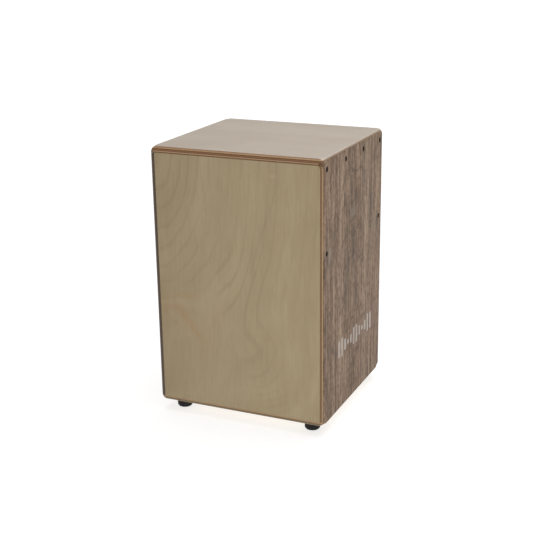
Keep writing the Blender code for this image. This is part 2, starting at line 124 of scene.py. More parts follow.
# ---------------------------------------------------------------- surfaces
def skin(name, grid, closed_along=False):
    """A mesh over grid[ring, point]: each ring is closed, neighbours are joined by quads, and each end
    ring is closed by one face unless the last ring joins the first. Faces are turned to point outwards
    by the sign of the enclosed volume, the sum of a . (b x c) over their triangles."""
    rings, count = grid.shape[:2]
    first = np.arange(rings if closed_along else rings - 1)[:, None]
    second = (first + 1) % rings
    here = np.arange(count)[None, :]
    there = (here + 1) % count
    quads = np.stack([first * count + here, first * count + there,
                      second * count + there, second * count + here], axis=-1).reshape(-1, 4)
    points = grid.reshape(-1, 3)
    a, b, c, d = (points[quads[:, i]] for i in range(4))
    volume = np.einsum("ij,ij->", a, np.cross(b, c)) + np.einsum("ij,ij->", a, np.cross(c, d))
    ends = []
    if not closed_along:
        low = np.arange(count)[::-1]
        high = np.arange(count) + (rings - 1) * count
        for end in (low, high):
            fan = points[end]
            volume += np.einsum("ij,ij->", np.tile(fan[0], (count - 2, 1)), np.cross(fan[1:-1], fan[2:]))
            ends.append(end)
    faces = quads.tolist() + [end.tolist() for end in ends]
    if volume < 0:
        faces = [face[::-1] for face in faces]
    mesh = bpy.data.meshes.new(name)
    mesh.from_pydata(points.tolist(), [], faces)
    mesh.validate()
    return mesh


def joined(name, meshes, places):
    """Several meshes as one, each moved to its place first."""
    points, faces, start = [], [], 0
    for mesh, place in zip(meshes, places):
        co = np.empty(len(mesh.vertices) * 3)
        mesh.vertices.foreach_get("co", co)
        turn = np.array(place)
        points.append(co.reshape(-1, 3) @ turn[:3, :3].T + turn[:3, 3])
        faces += [[i + start for i in polygon.vertices] for polygon in mesh.polygons]
        start += len(mesh.vertices)
    made = bpy.data.meshes.new(name)
    made.from_pydata(np.concatenate(points).tolist(), [], faces)
    return made


def eased(name, mesh, ease=0.0, cutter=None):
    """The finished mesh as an object: holes cut by the cutter, sharp edges eased by a narrow bevel, then
    smooth across the roundings and crisp at what is left of the edges."""
    piece = bpy.data.objects.new(name, mesh)
    bpy.context.scene.collection.objects.link(piece)
    if cutter is not None:
        tool = bpy.data.objects.new(name + "_cutter", cutter)
        bpy.context.scene.collection.objects.link(tool)
        cut = piece.modifiers.new("cut", "BOOLEAN")
        cut.operation = "DIFFERENCE"
        cut.solver = "EXACT"
        cut.object = tool
    if ease:
        bevel = piece.modifiers.new("ease", "BEVEL")
        bevel.width = ease
        bevel.segments = 2
        bevel.limit_method = "ANGLE"
        bevel.angle_limit = math.radians(SHARP_TURN)
    bpy.context.view_layer.update()
    made = bpy.data.meshes.new_from_object(piece.evaluated_get(bpy.context.evaluated_depsgraph_get()))
    piece.modifiers.clear()
    piece.data = made
    made.name = name
    made.shade_smooth()
    made.set_sharp_from_angle(angle=math.radians(CRISP_TURN))
    if cutter is not None:
        bpy.data.objects.remove(tool, do_unlink=True)
    return piece


def turned(profile, steps, bore=False):
    """A profile of (radius, height) points carried round Z. With a bore it closes on itself; otherwise its
    two ends are small rings closed by flat faces."""
    radius, height = np.array(profile).T
    angle = np.arange(steps) * 2 * np.pi / steps
    grid = np.stack([radius[:, None] * np.cos(angle), radius[:, None] * np.sin(angle),
                     np.repeat(height[:, None], steps, axis=1)], axis=-1)
    return skin("turned", grid, closed_along=bore)


def outline(half, low, high, low_axes, high_axes, along):
    """Points round a rectangle in X and Z, anticlockwise from its right side, whose four corners are
    quarter ellipses with the given (across, up) half axes. Each straight side is cut into `along` lengths."""
    angle = np.linspace(0, np.pi / 2, ARC + 1)
    across, up = np.cos(angle), np.sin(angle)
    wide, tall = high_axes
    x_high, z_high = half - wide + wide * across, high - tall + tall * up
    wide, tall = low_axes
    x_low, z_low = half - wide + wide * across, low + tall - tall * up
    arcs = [(x_high, z_high), (-x_high[::-1], z_high[::-1]), (-x_low, z_low), (x_low[::-1], z_low[::-1])]
    share = np.arange(1, along) / along
    x, z = [], []
    for (arc_x, arc_z), (next_x, next_z) in zip(arcs, arcs[1:] + arcs[:1]):
        x += [arc_x, arc_x[-1] + (next_x[0] - arc_x[-1]) * share]
        z += [arc_z, arc_z[-1] + (next_z[0] - arc_z[-1]) * share]
    return np.concatenate(x), np.concatenate(z)


def inset_at(depth):
    """How far the rounded outside has drawn in at a depth behind the front or rear face: a quarter
    circle of radius EDGE_R, inset = R - sqrt(R^2 - (R - depth)^2)."""
    behind = np.clip(EDGE_R - depth, 0, EDGE_R)
    return EDGE_R - np.sqrt(EDGE_R ** 2 - behind ** 2)


def long_radius(edge, depth):
    """Rounding of a long edge at a depth behind the front or rear face. Over the face's own rounding it is
    CORNER_R less the inset, so a corner is part of a torus; then it fades to the edge's own radius by
    the smooth step 3 s^2 - 2 s^3 over CORNER_REACH."""
    share = np.clip((depth - EDGE_R) / CORNER_REACH, 0, 1)
    return edge + (CORNER_R - edge) * (1 - share * share * (3 - 2 * share)) - inset_at(depth)


# ---------------------------------------------------------------- boards
def along_box(start, end):
    """Places along Y from start to end, close together over the roundings and the corners behind them.
    Returns each one's y and its depth behind the nearer face."""
    turn = EDGE_R * (1 - np.cos(np.linspace(0, np.pi / 2, ARC + 1)))
    turn = np.concatenate([turn, EDGE_R + CORNER_REACH * np.arange(1, ARC + 1) / ARC])
    y = np.concatenate([FRONT_Y + turn, REAR_Y - turn[::-1]])
    y = np.unique(np.concatenate([[start, end], y[(y > start + 1e-5) & (y < end - 1e-5)]]))
    return y, np.minimum(y - FRONT_Y, REAR_Y - y)


def carried(x, y, z):
    """A section in X and Z, given at each place y along the box, as one closed board."""
    return skin("board", np.stack([x, np.repeat(y[:, None], x.shape[1], axis=1), z], axis=-1))


def seat_or_floor(up):
    """Seat board (up = 1) or floor board (up = -1): a section in X and Z carried along Y. The section runs
    over the outer face from one 45 degree mitre to the other, round the box's long edges, and back along
    the inner face. Its inset and corner radius follow the rounding of the front and rear faces."""
    if up > 0:
        y, depth = along_box(FRONT_Y, REAR_Y)
        edge, outer, inner = TOP_LONG_R, TOP_Z, ROOF_Z
    else:
        y, depth = along_box(FRONT_Y + FRONT_T + JOINT, REAR_Y - REAR_T - JOINT)
        edge, outer, inner = LOW_LONG_R, BASE_Z, DECK_Z
    inset = inset_at(depth)
    radius = long_radius(edge, depth)
    centre_x = HALF_W - inset - radius
    centre_z = up * outer - inset - radius
    lowest = (up * inner - centre_z) / radius
    start = np.maximum(np.pi / 4, np.arcsin(np.clip(lowest, -1, 1)))
    share = np.linspace(0, 1, ARC // 2 + 1)[None, :]
    angle = start[:, None] * (1 - share) + np.pi / 2 * share
    x = centre_x[:, None] + radius[:, None] * np.cos(angle) - JOINT
    z = up * (centre_z[:, None] + radius[:, None] * np.sin(angle))
    least_mitre = 0.0004
    inner_x = np.minimum(INNER_X, x[:, :1] - least_mitre)
    x = np.concatenate([x, -x[:, ::-1], -inner_x, inner_x], axis=1)
    z = np.concatenate([z, z[:, ::-1], np.full_like(inner_x, inner), np.full_like(inner_x, inner)], axis=1)
    return carried(x, y, z)


def side_board(sign):
    """A side board: a section in X and Z carried along Y, over the outer face between the mitres at the
    seat and the floor, with half of each long rounding, and back along the inner face."""
    y, depth = along_box(FRONT_Y + FRONT_T + JOINT, REAR_Y - REAR_T - JOINT)
    inset = inset_at(depth)
    share = np.linspace(0, 1, ARC // 2 + 1)[None, :]
    columns_x, columns_z = [], []
    for up, edge, outer in ((1, TOP_LONG_R, TOP_Z), (-1, LOW_LONG_R, BASE_Z)):
        radius = long_radius(edge, depth)[:, None]
        angle = np.pi / 4 * (1 - share) if up > 0 else np.pi / 4 * share
        columns_x.append(HALF_W - inset[:, None] - radius + radius * np.cos(angle))
        columns_z.append(outer + up * (-inset[:, None] - radius + radius * np.sin(angle) - JOINT))
    ends = np.ones_like(inset)[:, None]
    columns_x += [INNER_X * ends, INNER_X * ends]
    columns_z += [(DECK_Z + JOINT) * ends, (ROOF_Z - JOINT) * ends]
    x = sign * np.concatenate(columns_x, axis=1)
    z = np.concatenate(columns_z, axis=1)
    return carried(x, y, z)


def plate_rings(face_y, back_y, along):
    """Rings of a plate's outline from its face to its back: the sides and the bottom follow the rounding
    of the box, and the upper edge only has a small lip. Upper corners are ellipses that narrow with it."""
    thick, least_r = abs(back_y - face_y), 0.002
    lip = LIP_R * (1 - np.cos(np.linspace(0, np.pi / 2, FINE_ARC)))
    turn = EDGE_R * (1 - np.cos(np.linspace(0, np.pi / 2, 2 * ARC + 1)))
    depth = np.unique(np.concatenate([lip, turn[(turn > LIP_R) & (turn < thick - 1e-4)], [thick]]))
    rings = []
    for d in depth:
        inset = float(inset_at(d))
        drop = LIP_R - math.sqrt(LIP_R ** 2 - max(LIP_R - d, 0) ** 2)
        low_r = float(long_radius(LOW_LONG_R, d))
        across = max(PLATE_CORNER_R - 0.75 * inset, least_r)
        x, z = outline(HALF_W - inset, BASE_Z + inset, ROOF_Z - JOINT - drop, (low_r, low_r),
                       (across, PLATE_CORNER_R - drop), along)
        y = face_y + math.copysign(d, back_y - face_y)
        rings.append(np.stack([x, np.full_like(x, y), z], axis=-1))
    return np.array(rings)


def playing_plate():
    """The front plate: its rings from the face to the back, closed flat at both ends."""
    return skin("plate", plate_rings(FRONT_Y, FRONT_Y + FRONT_T, 1))


def holed_plate():
    """The rear plate: its rings, then the back face in to the sound hole, through the hole's wall with both
    rims eased by a quarter round, and out over the face to the first ring again."""
    rings = plate_rings(REAR_Y, REAR_Y - REAR_T, 20)
    angle = np.arctan2(rings[0][:, 2] - HOLE_Z, rings[0][:, 0])
    round_x, round_z = np.cos(angle), np.sin(angle)
    ease = HOLE_EASE * (1 - np.cos(np.linspace(0, np.pi / 2, FINE_ARC)))
    flare = HOLE_EASE - np.sqrt(HOLE_EASE ** 2 - (HOLE_EASE - ease) ** 2)
    depth = np.concatenate([REAR_T - ease, ease[::-1]])
    radius = HOLE_R + np.concatenate([flare, flare[::-1]])
    wall = np.stack([radius[:, None] * round_x, (REAR_Y - depth)[:, None] * np.ones_like(round_x),
                     HOLE_Z + radius[:, None] * round_z], axis=-1)
    return skin("plate", np.concatenate([rings, wall]), closed_along=True)


# ---------------------------------------------------------------- screws and feet
FACE_OUT = {
    "+X": Matrix.Rotation(math.pi / 2, 4, "Y"),
    "-X": Matrix.Rotation(-math.pi / 2, 4, "Y"),
    "+Y": Matrix.Rotation(-math.pi / 2, 4, "X"),
    "-Z": Matrix.Rotation(math.pi, 4, "X"),
}


def cross_reach(angle, reach, half_arm):
    """How far a cross recess reaches at each angle: the nearer of the arm's end and its straight side."""
    near = np.abs((angle + np.pi / 4) % (np.pi / 2) - np.pi / 4)
    side = half_arm / np.maximum(np.sin(near), 1e-6)
    end = reach / np.cos(near)
    inner = half_arm * math.sqrt(2) / np.cos(np.pi / 4 - near)
    return np.minimum(end, np.maximum(side, inner * 0.98))


def ringed(name, angle, rings):
    """A closed surface over rings round Z, each a reach (one number, or one for every angle) and a height."""
    points = [np.broadcast_arrays(reach * np.cos(angle), reach * np.sin(angle), height)
              for reach, height in rings]
    return skin(name, np.array(points).transpose(0, 2, 1))


def woodscrew(head_r, length, steps=96):
    """A countersunk screw with its head at z = 0: rings from the middle of the cross recess, up its
    tapered walls, over a faintly crowned head, down the cone and the shank to a blunt tip."""
    rim, tip = 0.0006, 0.003
    angle = np.arange(steps) * 2 * np.pi / steps
    cross = cross_reach(angle, 0.60 * head_r, 0.105 * head_r)
    rings = [(0.06 * cross, -0.42 * head_r), (0.45 * cross, -0.40 * head_r), (0.90 * cross, -0.06 * head_r),
             (cross, -0.01 * head_r), (1.06 * cross, 0.0)]
    rings += [(share * head_r, 0.012 * head_r * (1 - share)) for share in (0.72, 0.86, 0.93)]
    rings += [(head_r * (0.96 + 0.04 * math.sin(turn)), -0.05 * head_r * (1 - math.cos(turn)))
              for turn in np.linspace(0, np.pi / 2, 4)]
    rings += [(head_r, -rim), (SHANK_R, -HEAD_H), (SHANK_R, tip - length), (0.25 * SHANK_R, -length)]
    return ringed("screw", angle, rings)


def countersink(head_r, shank_r, length, steps=48):
    """The cutter of a countersunk hole, with its mouth above z = 0: a short straight wall, a cone, a bore."""
    middle, mouth, straight, cone = 0.0004, 0.0012, 0.0005, 0.0035
    return turned([(middle, mouth), (head_r, mouth), (head_r, -straight), (shank_r, -cone),
                   (shank_r, -length), (middle, -length)], steps)


def foot_mesh(top, wide, steps=64):
    """A rubber foot under z = top: an upright rim, a side that tapers to a rounded toe, a sole with one
    groove, and a well for its screw, carried round Z and closed through the screw's bore."""
    rim_ease, rim_h, toe_round, bore_r = 0.0006, 0.0048, 0.0052, 0.0023
    groove, bottom, mouth, deep = FOOT_TOE_R - toe_round - 0.0012, 0.0003, 0.0005, 0.0005
    profile = [(wide - rim_ease * (1 - math.sin(a)), top - rim_ease * (1 - math.cos(a)))
               for a in np.linspace(0, np.pi / 2, FINE_ARC)]
    profile += [(wide, top - rim_h), (wide - 0.0001, top - rim_h - 0.0008)]
    profile += [(FOOT_TOE_R - toe_round * (1 - math.cos(a)), toe_round * (1 - math.sin(a)))
                for a in np.linspace(0.04, np.pi / 2, 9)]
    profile += [(groove + mouth, 0.0), (groove + bottom, deep), (groove - bottom, deep),
                (groove - mouth, 0.0)]
    profile += [(FOOT_WELL_R + 0.0005, 0.0), (FOOT_WELL_R, 0.0005), (FOOT_WELL_R, 0.5 * top)]
    profile += [(bore_r, 0.5 * top), (bore_r, top)]
    return turned(profile, steps, bore=True)


def panhead(head_r, length, steps=48):
    """A pan-head screw with its washer face at z = 0: rings up the walls of a cross recess, over a domed
    head, along the washer face, down the shank to a blunt tip."""
    tip = 0.004
    angle = np.arange(steps) * 2 * np.pi / steps
    cross = cross_reach(angle, 0.50 * head_r, 0.11 * head_r)
    rings = [(0.06 * cross, 0.35 * PAN_H), (0.80 * cross, 0.45 * PAN_H), (cross, 0.99 * PAN_H),
             (1.05 * cross, PAN_H)]
    rings += [(head_r * math.sin(turn), PAN_H * (0.45 + 0.68 * math.cos(turn)))
              for turn in np.linspace(math.radians(40), math.pi / 2, 6)]
    rings += [(head_r, 0.0), (SHANK_R, 0.0), (SHANK_R, tip - length), (0.25 * SHANK_R, -length)]
    return ringed("panhead", angle, rings)


# ---------------------------------------------------------------- finishes
def swatch(red, green, blue):
    """A colour as it is seen, from 0 to 255, turned into the linear one that shaders want."""
    seen = np.array([red, green, blue]) / 255
    linear = np.where(seen <= 0.04045, seen / 12.92, ((seen + 0.055) / 1.055) ** 2.4)
    return (*linear.tolist(), 1.0)


class Wire:
    """A node's output that takes part in sums: each operator adds the Math node that works it out."""

    def __init__(self, finish, socket):
        self.finish = finish
        self.socket = socket

    def sum(self, operation, *others):
        """The result of a Math node's operation on this wire and others."""
        return self.finish.node("Math", {"operation": operation}, dict(enumerate((self, *others))))

    def __add__(self, other):
        return self.sum("ADD", other)

    def __sub__(self, other):
        return self.sum("SUBTRACT", other)

    def __mul__(self, other):
        return self.sum("MULTIPLY", other)

    def __truediv__(self, other):
        return self.sum("DIVIDE", other)

    def __pow__(self, other):
        return self.sum("POWER", other)

    def __rsub__(self, other):
        return self.finish.node("Math", {"operation": "SUBTRACT"}, {0: other, 1: self})

    def __rtruediv__(self, other):
        return self.finish.node("Math", {"operation": "DIVIDE"}, {0: other, 1: self})

    __radd__ = __add__
    __rmul__ = __mul__

    def size(self):
        return self.sum("ABSOLUTE")

    def sine(self):
        return self.sum("SINE")

    def most(self, other):
        return self.sum("MAXIMUM", other)

    def rise(self, start, end):
        """0 before start, 1 after end, and a smooth step between them."""
        return self.finish.node("MapRange", {"interpolation_type": "SMOOTHSTEP"},
                                {"Value": self, "From Min": start, "From Max": end})


class Finish:
    """One material, with the few node patterns that its wood, rubber or steel is made of."""

    def __init__(self, name, **settings):
        self.material = bpy.data.materials.new(name)
        self.material.use_nodes = True
        self.tree = self.material.node_tree
        self.shader = self.tree.nodes["Principled BSDF"]
        self.set(**settings)
        self.at = self.node("TexCoord", output="Object")
        split = self.node("SeparateXYZ", values={"Vector": self.at}).socket.node
        self.x, self.y, self.z = (Wire(self, output) for output in split.outputs)

    def node(self, kind, settings=None, values=None, output=0):
        """Any node: its settings first, then the value or wire of each socket, and one output back."""
        node = self.tree.nodes.new("ShaderNode" + kind)
        for key, value in (settings or {}).items():
            if key == "stops":
                ramp = node.color_ramp
                while len(ramp.elements) < len(value):
                    ramp.elements.new(1.0)
                for element, (position, colour) in zip(ramp.elements, value):
                    element.position = position
                    element.color = colour
            else:
                setattr(node, key, value)
        for key, value in (values or {}).items():
            self.feed(node.inputs[key], value)
        return Wire(self, node.outputs[output])

    def feed(self, socket, value):
        """A wire is linked to the socket, and anything else is its value."""
        if isinstance(value, Wire):
            self.tree.links.new(value.socket, socket)
        else:
            socket.default_value = value

    def set(self, **sockets):
        """Feeds the shader's own sockets, named with underscores for spaces."""
        for name, value in sockets.items():
            self.feed(self.shader.inputs[name.replace("_", " ")], value)

    def at_scale(self, x, y, z, shift=(0.0, 0.0, 0.0)):
        """Object coordinates stretched along each axis, for grain that runs one way."""
        return self.node("Mapping", values={"Vector": self.at, "Location": shift, "Scale": (x, y, z)})

    def noise(self, where, detail=3.0, roughness=0.5, distortion=0.0):
        """Soft noise from 0 to 1 with its middle near a half."""
        return self.node("TexNoise", values={"Vector": where, "Scale": 1.0, "Detail": detail,
                                             "Roughness": roughness, "Distortion": distortion})

    def ramp(self, value, stops):
        """Colours laid along a value from 0 to 1."""
        return self.node("ValToRGB", {"stops": stops}, {"Fac": value})

    def mix(self, share, first, second):
        """The second colour over the first, by a share."""
        return self.node("Mix", {"data_type": "RGBA", "clamp_factor": True},
                         {0: share, 6: first, 7: second}, output=2)

    def shade(self, colour, amount):
        """A colour made lighter or darker by a factor that varies."""
        return self.node("VectorMath", {"operation": "SCALE"}, {"Vector": colour, "Scale": amount})

    def bump(self, height, distance):
        """Relief on the surface: a height from 0 to 1, and what 1 is worth in metres."""
        self.set(Normal=self.node("Bump", values={"Height": height, "Distance": distance}, output="Normal"))


def ply_edge(finish, depth, run, plies, wobble=0.12):
    """Sawn plywood by depth below its face in millimetres: plies as (depth of its far side, colour) bands
    that meet within a tenth of a millimetre, wavering a little, with fine sawn fibre. run gives the scales
    of the wavering and of the fibre."""
    waver, sawn = run
    sway = (finish.noise(finish.at_scale(*waver), detail=2.0) - 0.5) * (2 * wobble)
    total = plies[-1][0]
    meet = 0.10
    stops, start = [], 0.0
    for end, colour in plies:
        stops += [((start + meet) / total, colour), ((end - meet) / total, colour)]
        start = end
    band = finish.ramp((depth + sway) / total, stops)
    fibre = finish.noise(finish.at_scale(*sawn), detail=4.0, roughness=0.65)
    return finish.shade(band, 0.62 + fibre * 0.76)


def near_curve(offset, wide):
    """1 on a curve, falling to 0 beside it, from the distance to it: 1 / (1 + (offset / wide)^2)^2."""
    return 1.0 / (1.0 + (offset / wide) ** 2) ** 2


def spot(x, y, at_x, at_y, wide, tall):
    """1 inside an ellipse, falling to 0 outside: 1 / (1 + r^4), where r is 1 on the ellipse."""
    ring = ((x - at_x) / wide) ** 2 + ((y - at_y) / tall) ** 2
    return 1.0 / (1.0 + ring * ring)


def birch_figure(finish, u, v):
    """Rings of a peeled birch veneer as one height over the plate, with u across and v up from 0 to 1:
    ellipses round the upper left corner, pushed round a knot low on the left and a basin low on the
    right, and wavering with two slow noises. Bands and fine lines are cuts through that height."""
    sweep = ((u / 0.80) ** 2 + ((1.0 - v) / 0.95) ** 2) ** 0.5
    knot = spot(u, v, 0.12, 0.34, 0.17, 0.085)
    basin = spot(u, v, 0.72, 0.21, 0.24, 0.15)
    slow = finish.noise(finish.at_scale(5.0, 1.0, 2.2), detail=2.0, roughness=0.4)
    fine = finish.noise(finish.at_scale(24.0, 1.0, 5.0), detail=3.0, roughness=0.55)
    return sweep + knot * 0.30 - basin * 0.24 + (slow - 0.5) * 0.34 + (fine - 0.5) * 0.07, knot


def birch_face():
    """The playing plate: peeled birch under satin lacquer, its figure, pores and warm streaks round a knot,
    painted shade towards the upper left of the face, and the plate's plies where the edge is rounded, with
    painted shade over the left rounding and a painted highlight line along the bottom of the face."""
    finish = Finish("birch_playing_face", Coat_Weight=0.20, Coat_Roughness=0.25, Specular_IOR_Level=0.45)
    u = finish.x / (2 * HALF_W) + 0.5
    v = (finish.z - BASE_Z) / (ROOF_Z - BASE_Z)
    rings, knot = birch_figure(finish, u, v)
    broad = (rings * 19.0).sine()
    lines = (rings * 86.0 + 1.3).sine().rise(0.50, 1.0)
    strength = finish.noise(finish.at_scale(8.0, 1.0, 3.0, (3.0, 0.0, 1.0)), detail=2.0).rise(0.36, 0.66)
    mottle = finish.noise(finish.at_scale(30.0, 1.0, 13.0), detail=4.0, roughness=0.62, distortion=0.3)
    fibre = finish.noise(finish.at_scale(420.0, 1.0, 20.0), detail=4.0, roughness=0.65)
    pores = finish.noise(finish.at_scale(1300.0, 1.0, 120.0, (0.0, 0.0, 3.0)), detail=1.0).rise(0.64, 0.76)
    wander = mottle - 0.5
    tone = 0.5 + broad * 0.05 + wander * 0.38 + (fibre - 0.5) * 0.46
    base = finish.ramp(tone, [(0.20, swatch(162, 141, 101)), (0.5, swatch(178, 157, 119)),
                              (0.80, swatch(192, 173, 136))])
    amber, umber, drab = swatch(178, 132, 84), swatch(120, 98, 62), swatch(118, 104, 74)
    blush, olive, brown = swatch(206, 176, 146), swatch(128, 108, 62), swatch(122, 100, 70)
    painted_shade_olive = swatch(120, 98, 48)

    low_arc = 0.392 - u.rise(0.12, 0.31) * 0.115 + wander * 0.05
    high_arc = 0.427 + u * 0.13 + wander * 0.03
    upright = 0.27 + v.rise(0.20, 0.50) * 0.16 + wander * 0.05
    first = near_curve(v - low_arc, 0.028) * (1.0 - u.rise(0.28, 0.36))
    second = near_curve(v - high_arc, 0.020) * (1.0 - u.rise(0.24, 0.34))
    third = near_curve(u - upright, 0.022) * v.rise(0.16, 0.26) * (1.0 - v.rise(0.37, 0.47))
    fourth = near_curve(u - (0.59 + v.rise(0.55, 0.95) * 0.15), 0.014) * v.rise(0.52, 0.62)
    warm = finish.noise(finish.at_scale(34.0, 1.0, 22.0, (1.0, 0.0, 5.0)), detail=3.0).rise(0.30, 0.62)
    streaks = (first.most(second * 0.6).most(third * 0.45)) * (0.35 + warm * 0.65) + knot * warm * 0.12
    eye = near_curve(((u - 0.118) ** 2 + ((v - 0.338) * 2.2) ** 2) ** 0.5, 0.020)
    fleck = near_curve(((u - 0.722) ** 2 + ((v - 0.948) * 4.0) ** 2) ** 0.5, 0.024)
    drawn = lines * strength * (0.19 - u.rise(0.45, 0.80) * 0.09)
    # painted shade: an olive-brown tint towards the left of the face
    left = 1.0 - u.rise(-0.1, 0.34)
    for share, colour in ((streaks * 0.40, amber), (fourth * 0.12, umber), (eye * 0.22, drab),
                          (fleck * 0.40, blush), (drawn, olive), (pores * 0.16, brown), (left * 0.17, painted_shade_olive)):
        base = finish.mix(share, base, colour)
    # painted shade: the face is darker towards the left and the top and lighter towards the lower right, for
    # how the light falls
    base = finish.shade(base, 0.86 + u.rise(-0.25, 0.5) * 0.04 + u * 0.065 + (1.0 - v) * 0.03)

    depth = (finish.y - FRONT_Y) * MM
    edge = ply_edge(finish, depth, ((18.0, 1.0, 18.0), (420.0, 300.0, 420.0)),
                    [(1.65, swatch(130, 98, 62)), (3.2, swatch(184, 150, 110))])
    # painted shade: the left rounding and a strip at the plate's left edge are painted dark brown, for the
    # shade that falls there
    painted_shade_left_rim = 1.0 - u.rise(0.025, 0.031)
    above = (finish.z - BASE_Z) * MM
    edge = finish.mix(painted_shade_left_rim * 0.88, edge, swatch(64, 46, 29))
    edge = finish.mix(1.0 - above.rise(5.6, 6.6), edge, swatch(112, 92, 60))
    # painted highlight: a light line along the bottom edge of the face, where it turns into the rounding
    edge = finish.mix(near_curve(above - 7.6, 1.1) * 0.9, edge, swatch(190, 156, 114))
    cut = depth.rise(*PLY_SHOWS).most(painted_shade_left_rim).most(1.0 - above.rise(8.2, 8.8))
    finish.set(Base_Color=finish.mix(cut, base, edge), Roughness=0.42 + wander * 0.12 + cut * 0.15)
    finish.bump(fibre * 0.5 + lines * -0.2 - pores * 0.8, 0.00006)
    return finish.material


def seat_face():
    """The seat board: pale satin birch with faint straight grain, painted shade along its left edge, and its
    plies along the rounded front and rear edges."""
    finish = Finish("pale_seat_face", Coat_Weight=0.30, Coat_Roughness=0.25, Specular_IOR_Level=0.5)
    mottle = finish.noise(finish.at_scale(5.0, 18.0, 1.0), detail=4.0, roughness=0.55, distortion=0.4)
    fibre = finish.noise(finish.at_scale(24.0, 620.0, 1.0), detail=3.0, roughness=0.6)
    pores = finish.noise(finish.at_scale(110.0, 1400.0, 1.0), detail=1.0).rise(0.66, 0.8)
    tone = 0.5 + (mottle - 0.5) * 0.55 + (fibre - 0.5) * 0.40
    base = finish.ramp(tone, [(0.25, swatch(198, 182, 165)), (0.5, swatch(206, 192, 176)),
                              (0.78, swatch(214, 202, 188))])
    base = finish.mix(pores * 0.16, base, swatch(150, 130, 108))
    # painted shade: the seat is darkened grey-brown along its left edge, where shade falls
    beside = (finish.x + HALF_W) * MM
    base = finish.mix((1.0 - beside.rise(3.4, 5.2)) * 0.80, base, swatch(104, 92, 86))
    depth = (TOP_Z - finish.z) * MM
    dark, light, mid = swatch(118, 78, 44), swatch(178, 142, 100), swatch(142, 104, 66)
    plies = [(1.5, mid), (2.9, light), (4.3, dark), (5.7, mid), (7.1, dark), (8.6, light), (10.2, dark)]
    edge = ply_edge(finish, depth, ((14.0, 30.0, 30.0), (380.0, 380.0, 900.0)), plies)
    cut = (finish.y.size() * MM + (mottle - 0.5) * 0.4).rise(*SEAT_FACE_ENDS)
    finish.set(Base_Color=finish.mix(cut, base, edge), Roughness=0.40 + (mottle - 0.5) * 0.15 + cut * 0.2)
    finish.bump(fibre * 0.5 - pores * 0.8, 0.00005)
    return finish.material


KNOTS = ((-132, 300, 7, 16, 1.0), (121, 302, 8, 14, 1.0), (-105, 126, 9, 7, 0.9), (20, 86, 12, 5, 0.9),
         (48, 140, 16, 4, 0.8), (-5, 285, 22, 26, 0.45), (-8, 350, 6, 5, 0.5))
PALE_SPOTS = ((-119, 303, 7, 13), (108, 300, 6, 12), (-8, 350, 12, 7))


